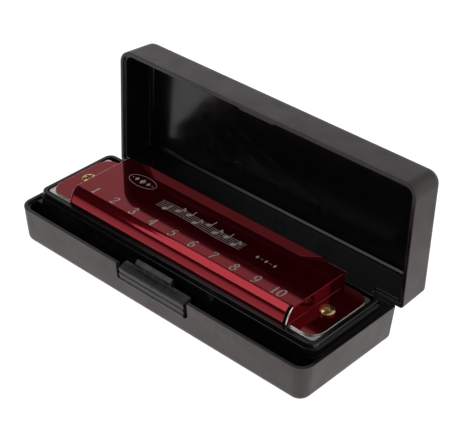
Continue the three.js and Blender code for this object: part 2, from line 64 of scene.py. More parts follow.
BASE_LOW, BASE_HIGH = low_high("case_base")
CASE_HALF = BASE_HIGH.x
CASE_FRONT = BASE_LOW.y
CASE_BACK = -CASE_FRONT
FRAME_TOP = BASE_HIGH.z
CASE_CORNER = 4.4
CASE_HINGE_CORNER = 1.2
SMALLEST_CORNER = 0.4
CASE_WALL = 1.8
BASE_HEIGHT = 12.0
BASE_FLOOR = 1.05
BASE_DRAFT = 0.8
BASE_FILLET = 2.4
LID_HEIGHT = 12.6
LID_DRAFT = 0.5
LID_FILLET = 2.9
LID_ROOF = 1.6
LID_HOLLOW_FILLET = 1.6
PARTING_GAP = 0.05
EJECTOR_PLACES = ((-15.5, 9.8), (0.9, 9.8), (17.5, 9.8))
EJECTOR_RADIUS = 2.0
EJECTOR_MARK = 0.06
FRAME_HALF = 52.3
FRAME_FRONT = -12.9
FRAME_BACK = 15.8
FRAME_WALL = 1.3
FRAME_CORNER = 2.5
TRAY_CORNER = 1.2
FRAME_LEDGE_DROP = 1.6
FRAME_LEDGE = 0.4
RIM_INSET = 1.1
RIM_STEP = 0.7
CHANNEL_FLOOR = 2.6
TRAY_RIB_TOP = 1.8
TRAY_RIB_X = 30.0
TRAY_RIB_WIDTH = 4.0
TRAY_RIB_BACK = 8.55
MOULD_EDGE = 0.22
BASE_EDGE = 0.17

# ---- Sizes of the hinge and latch -------------------------------------------------------

LID_JOINT = next(j for j in frame["joints"] if j["name"] == "case_lid_hinge")
HINGE_Y = LID_JOINT["pos_m"][1] / MM
HINGE_Z = LID_JOINT["pos_m"][2] / MM
LID_OPEN = math.radians(0.04 - LID_JOINT["range_deg"][0])
HINGE_X = 40.0
HINGE_PLACES = (-HINGE_X, HINGE_X)
BARREL_RADIUS = 1.8
BARREL_LENGTH = 9.4
ARM_SETBACK = 0.6
KNUCKLE_RADIUS = 1.9
KNUCKLE_LENGTH = 3.6
BASE_BORE_HALF = 10.0
LID_BORE_HALF = 8.0
HINGE_NOTCH = 10.0
HINGE_NOTCH_FLOOR = 6.6
HINGE_NOTCH_FRONT = 17.0
PIN_RADIUS = 0.65
PIN_BORE_RADIUS = 0.95
PIN_RECESS = 0.2
PIN_EDGE = 0.15
LATCH_X = 0.3
NOTCH_HALF = 13.6
NOTCH_FLOOR = 6.35
NOTCH_CORNER = 1.4
NOTCH_DEPTH = 2.2
CATCH_HALF = 6.5
LEAF_GAP = 0.35
LEAF_THICKNESS = 1.1
LATCH_HALF = 12.4
LATCH_FRONT = -19.2
THUMB_TOP = 10.9
LATCH_SHOULDER = 11.8
HOOK_X = -1.1
HOOK_HALF = 6.8
HOOK_TOP = 14.1
HOOK_BARB = 13.2
RIB_PITCH = 1.75
RIB_REACH = 0.35
RIB_HALF = 0.42
RIB_STEPS = 6
LATCH_EDGE = 0.12

# ---- Sizes of the harmonica -------------------------------------------------------------

COVER_LOW, COVER_HIGH = low_high("cover_upper")
BODY_HALF = COVER_HIGH.x
BODY_BACK = COVER_HIGH.y
BODY_MIDDLE = (COVER_HIGH.z + low_high("cover_lower")[0].z) / 2
BODY_FRONT = low_high("comb")[0].y
COVER_SHEET = 0.45
FLANGE_BOTTOM = COVER_LOW.z - BODY_MIDDLE
FLANGE_TOP = FLANGE_BOTTOM + COVER_SHEET
FLANGE_CORNER = 4.4
FLANGE_SETBACK = 0.55
DOME_LEFT = -40.8
DOME_RIGHT = 42.0
DOME_TOP = FLANGE_TOP + 4.6
DOME_TOP_FRONT = -8.2
LIP_FRONT = COVER_LOW.y
DOME_BACK = 12.7
FLARE_CREASE = 9.55
FLARE_RISE = 0.75
FLARE_CREASE_INSET = 13.9
FLARE_FLAT_INSET = 5.4
FLARE_FULL_INSET = 8.0
LEFT_SLIT = 0.2
RIGHT_SLIT = 0.85
SCREW_BORE_RADIUS = 1.3
LIP_START_PULL = Vector((-1.7, -0.5))
LIP_END_PULL = Vector((0.45, 2.4))
TOP_REACH = 1.2
HOLE_COUNT = 10
HOLE_PITCH = 7.73
SCREW_X = 45.6
SCREW_Y = 0.8
SCREW_GAP = 0.05

COVER_EDGE = 0.14
COVER_EDGE_ANGLE = 11
CORNER_STEPS = 12
MERGE_DISTANCE = 0.004
FLAT_ANGLE = math.radians(0.6)
FURTHEST_CORNER = 0.6


# ---- Mesh tools -------------------------------------------------------------------------

def rounded_ring(left, right, front, back, radius, z, steps=CORNER_STEPS, back_radius=None):
    """Points of a rectangle with round corners, at one height."""
    rear = radius if back_radius is None else back_radius
    corners = [(right - rear, back - rear, rear), (left + rear, back - rear, rear),
               (left + radius, front + radius, radius), (right - radius, front + radius, radius)]
    points = []
    for corner, (x, y, radius) in enumerate(corners):
        for step in range(steps + 1):
            angle = (corner + step / steps) * math.pi / 2
            points.append((x + radius * math.cos(angle), y + radius * math.sin(angle), z))
    return points


def case_ring(z, inset):
    """The case's outline at a height, moved inwards by an inset."""
    free, hinged = (max(radius - inset, SMALLEST_CORNER) for radius in (CASE_CORNER, CASE_HINGE_CORNER))
    half, front = CASE_HALF - inset, CASE_FRONT + inset
    return rounded_ring(-half, half, front, -front, free, z, back_radius=hinged)


def skin(rings):
    """A solid through rings of points that match one to one."""
    bm = bmesh.new()
    rows = [[bm.verts.new(point) for point in ring] for ring in rings]
    count = len(rows[0])
    for lower, upper in zip(rows, rows[1:]):
        for i in range(count):
            j = (i + 1) % count
            bm.faces.new((lower[i], lower[j], upper[j], upper[i]))
    bm.faces.new(rows[0][::-1])
    bm.faces.new(rows[-1])
    bmesh.ops.recalc_face_normals(bm, faces=bm.faces)
    return to_object(bm)


def to_object(bm):
    mesh = bpy.data.meshes.new("work")
    bm.to_mesh(mesh)
    bm.free()
    obj = bpy.data.objects.new("work", mesh)
    bpy.context.scene.collection.objects.link(obj)
    return obj


def along_x(section, left, right):
    """A section of (y, z) points drawn out along X."""
    return skin([[(x, y, z) for y, z in section] for x in (left, right)])


def block(low, high):
    """A box between two opposite corners."""
    section = [(low[1], low[2]), (high[1], low[2]), (high[1], high[2]), (low[1], high[2])]
    return along_x(section, low[0], high[0])


def rod(radius, left, right, y, z, steps=28):
    """A round bar along X."""
    turns = [2 * math.pi * step / steps for step in range(steps)]
    return along_x([(y + radius * math.cos(t), z + radius * math.sin(t)) for t in turns], left, right)


def turned(profile, x, y, steps=32):
    """A solid of revolution about a vertical line, from (radius, z) points off the axis."""
    rings = []
    for radius, z in profile:
        turns = [2 * math.pi * step / steps for step in range(steps)]
        rings.append([(x + radius * math.cos(t), y + radius * math.sin(t), z) for t in turns])
    return skin(rings)


def applied(obj):
    """Makes an object's modifiers part of its mesh."""
    depsgraph = bpy.context.evaluated_depsgraph_get()
    mesh = bpy.data.meshes.new_from_object(obj.evaluated_get(depsgraph))
    obj.modifiers.clear()
    obj.data = mesh
    return obj


def combine(obj, tools, operation):
    for tool in tools:
        modifier = obj.modifiers.new("combine", "BOOLEAN")
        modifier.solver = "EXACT"
        modifier.operation = operation
        modifier.object = tool
        bpy.context.view_layer.update()
        applied(obj)
        bpy.data.objects.remove(tool)
    return obj


def join(obj, *tools):
    return combine(obj, tools, "UNION")


def carve(obj, *tools):
    return combine(obj, tools, "DIFFERENCE")


def soften(obj, width, segments=3, angle=32):
    """Rounds every edge sharper than an angle, as moulding and tumbling leave it.

    A corner that the rounding throws off the drawn shape is put back on it.
    """
    bm = bmesh.new()
    bm.from_mesh(obj.data)
    bmesh.ops.remove_doubles(bm, verts=bm.verts, dist=MERGE_DISTANCE)
    bmesh.ops.dissolve_limit(bm, angle_limit=FLAT_ANGLE, verts=bm.verts, edges=bm.edges)
    bm.to_mesh(obj.data)
    bm.free()
    obj.data.shade_smooth()
    modifier = obj.modifiers.new("soften", "BEVEL")
    modifier.width = width
    modifier.segments = segments
    modifier.limit_method = "ANGLE"
    modifier.angle_limit = math.radians(angle)
    modifier.use_clamp_overlap = False
    modifier.harden_normals = True
    corners = [v.co for v in obj.data.vertices]
    sharp = BVHTree.FromPolygons(corners, [p.vertices for p in obj.data.polygons])
    low = [min(co[axis] for co in corners) for axis in range(3)]
    high = [max(co[axis] for co in corners) for axis in range(3)]
    applied(obj)
    for vert in obj.data.vertices:
        nearest, _, _, distance = sharp.find_nearest(vert.co)
        if distance > FURTHEST_CORNER * width:
            vert.co = nearest
        vert.co = [min(max(vert.co[axis], low[axis]), high[axis]) for axis in range(3)]
    return obj


def make_piece(obj, name, body, materials, replaces=(), pick=None, to_frame=None):
    """Turns a drawn shape into a finished piece that rides on a body."""
    matrix = Matrix.Scale(MM, 4)
    obj.data.materials.clear()
    for material in materials:
        obj.data.materials.append(material)
    for face in obj.data.polygons:
        face.material_index = pick(face.center, face.normal) if pick else 0
    obj.data.transform(matrix @ (to_frame or Matrix.Identity(4)))
    obj.name = obj.data.name = name
    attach(obj, body)
    if replaces:
        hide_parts(*replaces)
    return obj


# ---- Shared shader effects --------------------------------------------------------------

class Effect:
    """A node group under construction, with a short way to add and link nodes."""

    def __init__(self, name, inputs, outputs):
        self.tree = bpy.data.node_groups.new(name, "ShaderNodeTree")
        for title, kind, value in inputs:
            socket = self.tree.interface.new_socket(title, in_out="INPUT", socket_type=kind)
            socket.default_value = value
        for title, kind in outputs:
            self.tree.interface.new_socket(title, in_out="OUTPUT", socket_type=kind)
        self.start = self.tree.nodes.new("NodeGroupInput")
        self.end = self.tree.nodes.new("NodeGroupOutput")

    def node(self, kind, links=None, **settings):
        return add_node(self.tree, kind, links, **settings)


def add_node(tree, kind, links=None, **settings):
    node = tree.nodes.new("ShaderNode" + kind)
    for key, value in settings.items():
        setattr(node, key, value)
    for key, source in (links or {}).items():
        socket = node.inputs[key]
        if isinstance(source, bpy.types.NodeSocket):
            tree.links.new(source, socket)
        else:
            socket.default_value = source
    return node


FLOAT = "NodeSocketFloat"


def build_grain():
    """Fine moulded or rolled grain: a height and a mottle, at a scale in cells per metre."""
    effect = Effect("surface_grain", [("Scale", FLOAT, 900.0)], [("Height", FLOAT), ("Mottle", FLOAT)])
    place = effect.node("TexCoord").outputs["Object"]
    scale = effect.start.outputs["Scale"]
    fine = effect.node("TexNoise", {"Vector": place, "Scale": scale, "Detail": 4.0, "Roughness": 0.62})
    broad_scale = effect.node("Math", {0: scale, 1: 0.07}, operation="MULTIPLY").outputs[0]
    broad = effect.node("TexNoise", {"Vector": place, "Scale": broad_scale, "Detail": 3.0})
    effect.tree.links.new(fine.outputs["Fac"], effect.end.inputs["Height"])
    effect.tree.links.new(broad.outputs["Fac"], effect.end.inputs["Mottle"])
    return effect.tree


def build_hairlines():
    """Long fine lines, as brushing, rolling or wiping leave them. Stretch squeezes one axis."""
    effect = Effect(
        "hairlines",
        [("Scale", FLOAT, 400.0), ("Stretch", "NodeSocketVector", (0.02, 1.0, 1.0))],
        [("Lines", FLOAT)],
    )
    place = effect.node("TexCoord").outputs["Object"]
    stretch = effect.start.outputs["Stretch"]
    squeezed = effect.node("VectorMath", {0: place, 1: stretch}, operation="MULTIPLY").outputs[0]
    scale = effect.start.outputs["Scale"]
    lines = effect.node("TexNoise", {
        "Vector": squeezed, "Scale": scale, "Detail": 6.0, "Roughness": 0.7,
    })
    sharp = effect.node("MapRange", {"Value": lines.outputs["Fac"], "From Min": 0.38, "From Max": 0.66})
    effect.tree.links.new(sharp.outputs["Result"], effect.end.inputs["Lines"])
    return effect.tree


def build_wear():
    """A mask that is high on outer edges, broken up by noise."""
    effect = Effect("edge_wear", [("Amount", FLOAT, 1.0)], [("Mask", FLOAT)])
    place = effect.node("TexCoord").outputs["Object"]
    edge = effect.node("MapRange", {
        "Value": effect.node("NewGeometry").outputs["Pointiness"], "From Min": 0.51, "From Max": 0.58,
    })
    noise = effect.node("TexNoise", {"Vector": place, "Scale": 420.0, "Detail": 3.0})
    patch = effect.node("MapRange", {"Value": noise.outputs["Fac"], "From Min": 0.35, "From Max": 0.7})
    results = {0: edge.outputs["Result"], 1: patch.outputs["Result"]}
    worn = effect.node("Math", results, operation="MULTIPLY").outputs[0]
    amount = effect.start.outputs["Amount"]
    mask = effect.node("Math", {0: worn, 1: amount}, operation="MULTIPLY")
    effect.tree.links.new(mask.outputs[0], effect.end.inputs["Mask"])
    return effect.tree


GRAIN = build_grain()
HAIRLINES = build_hairlines()
WEAR = build_wear()


# ---- Materials --------------------------------------------------------------------------

class Finish:
    """A material whose Principled shader is set by values and fed by the shared effects."""

    def __init__(self, name, **values):
        self.material = bpy.data.materials.new(name)
        self.material.use_nodes = True
        self.tree = self.material.node_tree
        self.shader = self.tree.nodes["Principled BSDF"]
        for title, value in values.items():
            self.shader.inputs[title.replace("_", " ")].default_value = value

    def node(self, kind, links=None, **settings):
        return add_node(self.tree, kind, links, **settings)

    def effect(self, group, **values):
        node = self.tree.nodes.new("ShaderNodeGroup")
        node.node_tree = group
        for title, value in values.items():
            node.inputs[title].default_value = value
        return node.outputs

    def feed(self, title, source):
        self.tree.links.new(source, self.shader.inputs[title])

    def ramp(self, source, low, high, start=0.3, stop=0.7):
        """A value that runs from low to high as the source goes from start to stop."""
        links = {"Value": source, "From Min": start, "From Max": stop, "To Min": low, "To Max": high}
        return self.node("MapRange", links).outputs["Result"]

    def tint(self, mask, first, second):
        """The first colour, or another node's, passing into the second where the mask is high."""
        mix = self.node("Mix", data_type="RGBA")
        self.tree.links.new(mask, mix.inputs["Factor"])
        if isinstance(first, bpy.types.NodeSocket):
            self.tree.links.new(first, mix.inputs["A"])
        else:
            mix.inputs["A"].default_value = (*first, 1)
        mix.inputs["B"].default_value = (*second, 1)
        return mix.outputs["Result"]

    def bump(self, height, strength, distance):
        links = {"Height": height, "Strength": strength, "Distance": distance}
        return self.node("Bump", links).outputs["Normal"]


def plastic(name, ior, dark, light, worn, rough_low, rough_high, bump, sheen=(1.0, 1.0, 1.0)):
    """Moulded plastic with a fine grain, a little paler where its outer edges are rubbed."""
    finish = Finish(name, IOR=ior, Specular_Tint=(*sheen, 1))
    grain = finish.effect(GRAIN, Scale=2600.0)
    wear = finish.effect(WEAR, Amount=0.8)
    body = finish.tint(grain["Mottle"], dark, light)
    finish.feed("Base Color", finish.tint(wear["Mask"], body, worn))
    finish.feed("Roughness", finish.ramp(grain["Mottle"], rough_low, rough_high))
    finish.feed("Normal", finish.bump(grain["Height"], bump, 0.00004))
    return finish.material


def metal(name, dark, light, rough_low, rough_high, stretch, scale, bump, metallic=1.0):
    """Metal with fine lines: a high stretch value packs them closely along that axis."""
    finish = Finish(name, Metallic=metallic)
    lines = finish.effect(HAIRLINES, Scale=scale, Stretch=stretch)["Lines"]
    mottle = finish.effect(GRAIN, Scale=1500.0)["Mottle"]
    finish.feed("Base Color", finish.tint(mottle, dark, light))
    finish.feed("Roughness", finish.ramp(lines, rough_low, rough_high, 0.0, 1.0))
    finish.feed("Normal", finish.bump(lines, bump, 0.00002))
    return finish.material


def red_lacquer():
    """Bright metal under a transparent red coat: mirror-like, with faint wiping marks."""
    finish = Finish("red_lacquer", Metallic=0.84, Coat_Weight=0.3, Coat_Roughness=0.03, IOR=1.5)
    mottle = finish.effect(GRAIN, Scale=700.0)["Mottle"]
    marks = finish.effect(HAIRLINES, Scale=900.0, Stretch=(0.05, 1.0, 1.0))["Lines"]
    finish.feed("Base Color", finish.tint(mottle, (0.25, 0.004, 0.012), (0.275, 0.006, 0.016)))
    finish.feed("Roughness", finish.ramp(marks, 0.05, 0.085, 0.0, 1.0))
    finish.feed("Normal", finish.bump(marks, 0.02, 0.00001))
    return finish.material


BLACK_SATIN = plastic("black_satin", 1.58, (0.016, 0.0125, 0.0125), (0.021, 0.0165, 0.0165),
                      (0.05, 0.045, 0.045), 0.4, 0.5, 0.22, (1.0, 0.9, 0.9))
BLACK_GLOSS = plastic("black_gloss", 1.42, (0.004, 0.004, 0.0043), (0.006, 0.006, 0.0063),
                      (0.02, 0.02, 0.02), 0.13, 0.2, 0.05)
BLACK_LATCH = plastic("black_latch", 1.5, (0.007, 0.007, 0.0072), (0.011, 0.011, 0.0112),
                      (0.08, 0.08, 0.08), 0.2, 0.27, 0.1)
COMB_PLASTIC = plastic("comb_plastic", 1.5, (0.014, 0.014, 0.014), (0.02, 0.02, 0.02),
                       (0.06, 0.06, 0.06), 0.3, 0.42, 0.2)
RED = red_lacquer()
# Bare metal of the covers' cut edges; the same colour is also a painted highlight along the covers'
# rounded top-left bend.
BARE_EDGE_AND_HIGHLIGHT = metal("bare_edge_and_highlight", (0.72, 0.68, 0.66), (0.86, 0.83, 0.8), 0.18, 0.4,
                  (1.0, 1.0, 0.1), 900.0, 0.2)
PLATE = metal("plate_metal", (0.66, 0.65, 0.61), (0.8, 0.79, 0.75), 0.2, 0.42,
              (0.03, 1.0, 1.0), 1400.0, 0.3)
REED = metal("reed_brass", (0.62, 0.42, 0.16), (0.8, 0.6, 0.28), 0.18, 0.36,
             (1.0, 0.05, 1.0), 2500.0, 0.3)
SCREW = metal("screw_brass", (0.5, 0.33, 0.13), (0.72, 0.52, 0.26), 0.2, 0.34,
              (1.0, 1.0, 1.0), 1500.0, 0.1)
STEEL = metal("pin_steel", (0.42, 0.42, 0.43), (0.6, 0.6, 0.61), 0.2, 0.38,
              (0.05, 1.0, 1.0), 2500.0, 0.2)
ETCHED = metal("etched_silver", (0.6, 0.55, 0.52), (0.78, 0.74, 0.7), 0.45, 0.6,
               (1.0, 1.0, 1.0), 3000.0, 0.3, 0.6)


# ---- Case base --------------------------------------------------------------------------

def quarter_round(flat, inset, radius, steps=8, up=True):
    """(z, inset) pairs from a flat face round to the wall beside it."""
    pairs = []
    for step in range(steps + 1):
        angle = step / steps * math.pi / 2
        rise = radius * (1 - math.cos(angle))
        pairs.append((flat + rise if up else flat - rise, inset + radius * (1 - math.sin(angle))))
    return pairs


def frame_ring(z, grow=0.0):
    """The outline of the raised frame round the tray, at a height."""
    return rounded_ring(-FRAME_HALF - grow, FRAME_HALF + grow, FRAME_FRONT - grow, FRAME_BACK + grow,
                        FRAME_CORNER + grow, z, 8)


def case_base():
    shell = skin([case_ring(z, inset) for z, inset in quarter_round(0, BASE_DRAFT, BASE_FILLET)]
                 + [case_ring(BASE_HEIGHT, 0)])
    carve(shell, skin([case_ring(z, RIM_INSET) for z in (BASE_HEIGHT - RIM_STEP, BASE_HEIGHT + 1)]))
    ledge = FRAME_TOP - FRAME_LEDGE_DROP
    surround = skin([frame_ring(BASE_FLOOR / 2, FRAME_LEDGE), frame_ring(ledge, FRAME_LEDGE),
                     frame_ring(ledge + 0.001), frame_ring(FRAME_TOP)])
    half = KNUCKLE_LENGTH / 2
    aside = HINGE_NOTCH / 2 + half
    knuckles = [rod(KNUCKLE_RADIUS, middle - half, middle + half, HINGE_Y, HINGE_Z)
                for x in HINGE_PLACES for middle in (x - aside, x + aside)]
    join(shell, surround, *knuckles)
    inner = FRAME_HALF - FRAME_WALL
    inner_front, inner_back = FRAME_FRONT + FRAME_WALL, FRAME_BACK - FRAME_WALL
    tray = skin([rounded_ring(-inner, inner, inner_front, inner_back, TRAY_CORNER, z, 6)
                 for z in (BASE_FLOOR, FRAME_TOP + 1)])
    channel = skin([case_ring(z, CASE_WALL) for z in (CHANNEL_FLOOR, FRAME_TOP + 1)])
    carve(channel, block((-CASE_HALF, FRAME_FRONT - FRAME_LEDGE, 0), (CASE_HALF, CASE_BACK, ledge)))
    carve(channel, block((-CASE_HALF, FRAME_FRONT, ledge - 1), (CASE_HALF, CASE_BACK, 2 * FRAME_TOP)))
    notch_ring = rounded_ring(LATCH_X - NOTCH_HALF, LATCH_X + NOTCH_HALF, NOTCH_FLOOR, FRAME_TOP + 2,
                              NOTCH_CORNER, 0, 8)
    notch = skin([[(x, y, z) for x, z, _ in notch_ring]
                  for y in (CASE_FRONT - 1, CASE_FRONT + NOTCH_DEPTH)])
    hinge_notches = [block((x - HINGE_NOTCH / 2, HINGE_NOTCH_FRONT, HINGE_NOTCH_FLOOR),
                           (x + HINGE_NOTCH / 2, HINGE_Y + 4, BASE_HEIGHT + 1)) for x in HINGE_PLACES]
    bores = [rod(PIN_BORE_RADIUS, x - BASE_BORE_HALF, x + BASE_BORE_HALF, HINGE_Y, HINGE_Z)
             for x in HINGE_PLACES]
    carve(shell, tray, channel, notch, *hinge_notches, *bores)
    ribs = [block((x - TRAY_RIB_WIDTH / 2, FRAME_FRONT + FRAME_WALL / 2, BASE_FLOOR / 2),
                  (x + TRAY_RIB_WIDTH / 2, TRAY_RIB_BACK, TRAY_RIB_TOP))
            for x in (-TRAY_RIB_X, TRAY_RIB_X)]
    join(shell, *ribs)
    soften(shell, BASE_EDGE)

    def pick(centre, normal):
        """Gloss inside the walls, satin on the rim and outside."""
        in_walls = (abs(centre.x) < CASE_HALF - CASE_WALL + 0.2
                    and abs(centre.y) < CASE_BACK - CASE_WALL + 0.2)
        return 1 if in_walls and centre.z > BASE_FLOOR - 0.1 else 0

    return make_piece(shell, "base_moulding", "case", [BLACK_SATIN, BLACK_GLOSS],
                      ["case_base"], pick)


# ---- Case lid ---------------------------------------------------------------------------

LID_SEAT = BASE_HEIGHT + PARTING_GAP
LID_TOP = BASE_HEIGHT + LID_HEIGHT
SWING_OPEN = (Matrix.Translation((0, HINGE_Y, HINGE_Z)) @ Matrix.Rotation(-LID_OPEN, 4, "X")
              @ Matrix.Translation((0, -HINGE_Y, -HINGE_Z)))


def case_lid():
    """The lid is drawn shut, in the place where it meets the base, and then swung open."""
    outside = [(LID_SEAT, 0)] + quarter_round(LID_TOP, LID_DRAFT, LID_FILLET, up=False)[::-1]
    shell = skin([case_ring(z, inset) for z, inset in outside])
    hollow_round = quarter_round(LID_TOP - LID_ROOF, CASE_WALL + LID_DRAFT, LID_HOLLOW_FILLET, 5,
                                 up=False)
    hollow = skin([case_ring(LID_SEAT - 1, CASE_WALL)]
                  + [case_ring(z, inset) for z, inset in hollow_round[::-1]])
    rim_recess = skin([case_ring(LID_SEAT - 1, RIM_INSET), case_ring(LID_SEAT + RIM_STEP, RIM_INSET)])
    carve(shell, hollow, rim_recess)
    root, tip = CASE_FRONT + CASE_WALL - 0.9, CASE_FRONT + CASE_WALL + 0.5
    ledge = [(root, LID_SEAT + 0.7), (tip, LID_SEAT + 0.7), (tip, LID_SEAT + 1.0), (root, LID_SEAT + 1.8)]
    catch = along_x(ledge, HOOK_X - CATCH_HALF, HOOK_X + CATCH_HALF)
    half = BARREL_LENGTH / 2
    arms = [block((x - half, HINGE_Y - BARREL_RADIUS, HINGE_Z),
                  (x + half, CASE_BACK - ARM_SETBACK, LID_SEAT + 1)) for x in HINGE_PLACES]
    barrels = [rod(BARREL_RADIUS, x - half, x + half, HINGE_Y, HINGE_Z) for x in HINGE_PLACES]
    mark_side = [(EJECTOR_RADIUS, LID_TOP - LID_ROOF - EJECTOR_MARK),
                 (EJECTOR_RADIUS, LID_TOP - LID_ROOF / 2)]
    marks = [turned(mark_side, x, y) for x, y in EJECTOR_PLACES]
    join(shell, catch, *arms, *barrels, *marks)
    carve(shell, *[rod(PIN_BORE_RADIUS, x - LID_BORE_HALF, x + LID_BORE_HALF, HINGE_Y, HINGE_Z)
                   for x in HINGE_PLACES])
    soften(shell, MOULD_EDGE)

    def pick(centre, normal):
        """Gloss in the hollow, satin on the rim and outside."""
        in_walls = abs(centre.x) < CASE_HALF - 1.3 and abs(centre.y) < CASE_BACK - 1.3
        return 1 if in_walls and centre.z < LID_TOP - LID_ROOF + 0.1 else 0

    return make_piece(shell, "lid_moulding", "lid", [BLACK_SATIN, BLACK_GLOSS],
                      ["case_lid"], pick, SWING_OPEN)


# ---- Latch and hinge pins ---------------------------------------------------------------

def case_latch():
    """A springy leaf with a ribbed thumb piece in front and a hook on top, as one section."""
    leaf_front = CASE_FRONT + CASE_WALL + LEAF_GAP
    leaf_back = leaf_front + LEAF_THICKNESS
    thumb_foot = NOTCH_FLOOR + 0.3
    face = [(LATCH_FRONT, thumb_foot)]
    for rib in (2, 1, 0):
        middle = THUMB_TOP - 0.3 - rib * RIB_PITCH
        for step in range(RIB_STEPS + 1):
            turn = math.pi * step / RIB_STEPS
            face.append((LATCH_FRONT - RIB_REACH * math.sin(turn), middle - RIB_HALF * math.cos(turn)))
    section = face[::-1] + [(leaf_front, thumb_foot), (leaf_front, CHANNEL_FLOOR + 0.3),
                            (leaf_back, CHANNEL_FLOOR + 0.3), (leaf_back, LATCH_SHOULDER),
                            (leaf_front, LATCH_SHOULDER), (LATCH_FRONT + 0.15, THUMB_TOP + 0.1)]
    body = along_x(section, LATCH_X - LATCH_HALF, LATCH_X + LATCH_HALF)
    hook_back = leaf_back + 0.3
    hook_front, hook_root = leaf_front + 0.35, LATCH_SHOULDER - 0.5
    hook_section = [(hook_front, hook_root), (hook_back, hook_root), (hook_back, HOOK_TOP),
                    (leaf_front + 0.8, HOOK_TOP), (leaf_front + 0.1, HOOK_BARB),
                    (hook_front, HOOK_BARB - 0.2)]
    hook = along_x(hook_section, HOOK_X - HOOK_HALF, HOOK_X + HOOK_HALF)
    join(body, hook)
    soften(body, LATCH_EDGE, 2)
    return make_piece(body, "latch_moulding", "latch", [BLACK_LATCH], ["case_latch"])


def hinge_pin(node, x):
    """A steel wire through both knuckles of a hinge, its ends set back inside them."""
    half = HINGE_NOTCH / 2 + KNUCKLE_LENGTH - PIN_RECESS
    pin = rod(PIN_RADIUS, x - half, x + half, HINGE_Y, HINGE_Z, 32)
    soften(pin, PIN_EDGE)
    return make_piece(pin, node + "_wire", "case", [STEEL], [node])


# ---- Harmonica covers -------------------------------------------------------------------

def lip_curve(inset, steps=20):
    """Points of the lip, from the crease at the front of the top down to the flange."""
    start = Vector((DOME_TOP_FRONT + inset / 2, DOME_TOP - inset))
    end = Vector((LIP_FRONT + inset, FLANGE_TOP))
    first = start + LIP_START_PULL
    second = end + LIP_END_PULL
    points = []
    for step in range(steps + 1):
        t = step / steps
        a, b, c, d = (1 - t) ** 3, 3 * t * (1 - t) ** 2, 3 * t * t * (1 - t), t ** 3
        points.append(a * start + b * first + c * second + d * end)
    return [(p.x, p.y) for p in points]


def dome_section(inset, back, bottom):
    """The raised part seen from its end: up the back, over the top and down the lip."""
    return [(back, bottom), (back, DOME_TOP - inset), *lip_curve(inset), (LIP_FRONT + inset, bottom)]


def flare_height(x, y):
    """How far the back edge of the top is bent up at a place, between its slanting creases."""
    run = (y - FLARE_CREASE) / (DOME_BACK - FLARE_CREASE)
    if run <= 0:
        return 0.0
    into = min(x - DOME_LEFT, DOME_RIGHT - x)
    flat = FLARE_CREASE_INSET + (FLARE_FLAT_INSET - FLARE_CREASE_INSET) * run
    full = FLARE_CREASE_INSET + (FLARE_FULL_INSET - FLARE_CREASE_INSET) * run
    return FLARE_RISE * run * min(1.0, max(0.0, (into - flat) / (full - flat)))


def flare_back_edge(obj):
    """Cuts the top along the flare's creases and bends the part behind them up."""
    bm = bmesh.new()
    bm.from_mesh(obj.data)
    lines = [((0, FLARE_CREASE), (1, 0))]
    for side, end in ((1, DOME_LEFT), (-1, DOME_RIGHT)):
        for inset in (FLARE_FLAT_INSET, FLARE_FULL_INSET):
            lines.append(((end + side * inset, DOME_BACK),
                          (side * (FLARE_CREASE_INSET - inset), FLARE_CREASE - DOME_BACK)))
    for (x, y), (along_x_axis, along_y_axis) in lines:
        top = [f for f in bm.faces if f.calc_center_median().z > DOME_TOP - TOP_REACH]
        edges = {e for f in top for e in f.edges}
        verts = {v for e in edges for v in e.verts}
        bmesh.ops.bisect_plane(bm, geom=[*verts, *edges, *top], dist=0.0005,
                               plane_co=(x, y, 0), plane_no=(along_y_axis, -along_x_axis, 0))
    for vert in bm.verts:
        if vert.co.z > DOME_TOP - TOP_REACH:
            vert.co.z += flare_height(vert.co.x, vert.co.y)
    bmesh.ops.triangulate(bm, faces=[f for f in bm.faces if f.calc_center_median().y > FLARE_CREASE])
    bm.to_mesh(obj.data)
    bm.free()
    return obj


def cover_shape():
    """One cover drawn right way up around the middle of the harmonica's thickness."""
    flange_front = BODY_FRONT + FLANGE_SETBACK
    flange = skin([rounded_ring(-BODY_HALF, BODY_HALF, flange_front, BODY_BACK, FLANGE_CORNER, z)
                   for z in (FLANGE_BOTTOM, FLANGE_TOP)])
    raised = along_x(dome_section(0, DOME_BACK, FLANGE_BOTTOM), DOME_LEFT, DOME_RIGHT)
    join(flange, raised)
    hollow = along_x(dome_section(COVER_SHEET, DOME_BACK + 1, FLANGE_BOTTOM - 1),
                     DOME_LEFT + COVER_SHEET, DOME_RIGHT - COVER_SHEET)
    slit_back = DOME_TOP_FRONT - 0.35
    slits = [block((left, LIP_FRONT - 1, FLANGE_BOTTOM - 1), (left + width, slit_back, DOME_TOP + 1))
             for left, width in ((DOME_LEFT + COVER_SHEET, LEFT_SLIT),
                                 (DOME_RIGHT - COVER_SHEET - RIGHT_SLIT, RIGHT_SLIT))]
    bore_side = [(SCREW_BORE_RADIUS, FLANGE_BOTTOM - 1), (SCREW_BORE_RADIUS, FLANGE_TOP + 1)]
    bores = [turned(bore_side, x, SCREW_Y) for x in (-SCREW_X, SCREW_X)]
    carve(flange, hollow, *slits, *bores)
    flare_back_edge(flange)
    return soften(flange, COVER_EDGE, 3, COVER_EDGE_ANGLE)


UPRIGHT = Matrix.Translation((0, 0, BODY_MIDDLE))
UPSIDE_DOWN = Matrix.Translation((0, 0, BODY_MIDDLE)) @ Matrix.Scale(-1, 4, (0, 0, 1))


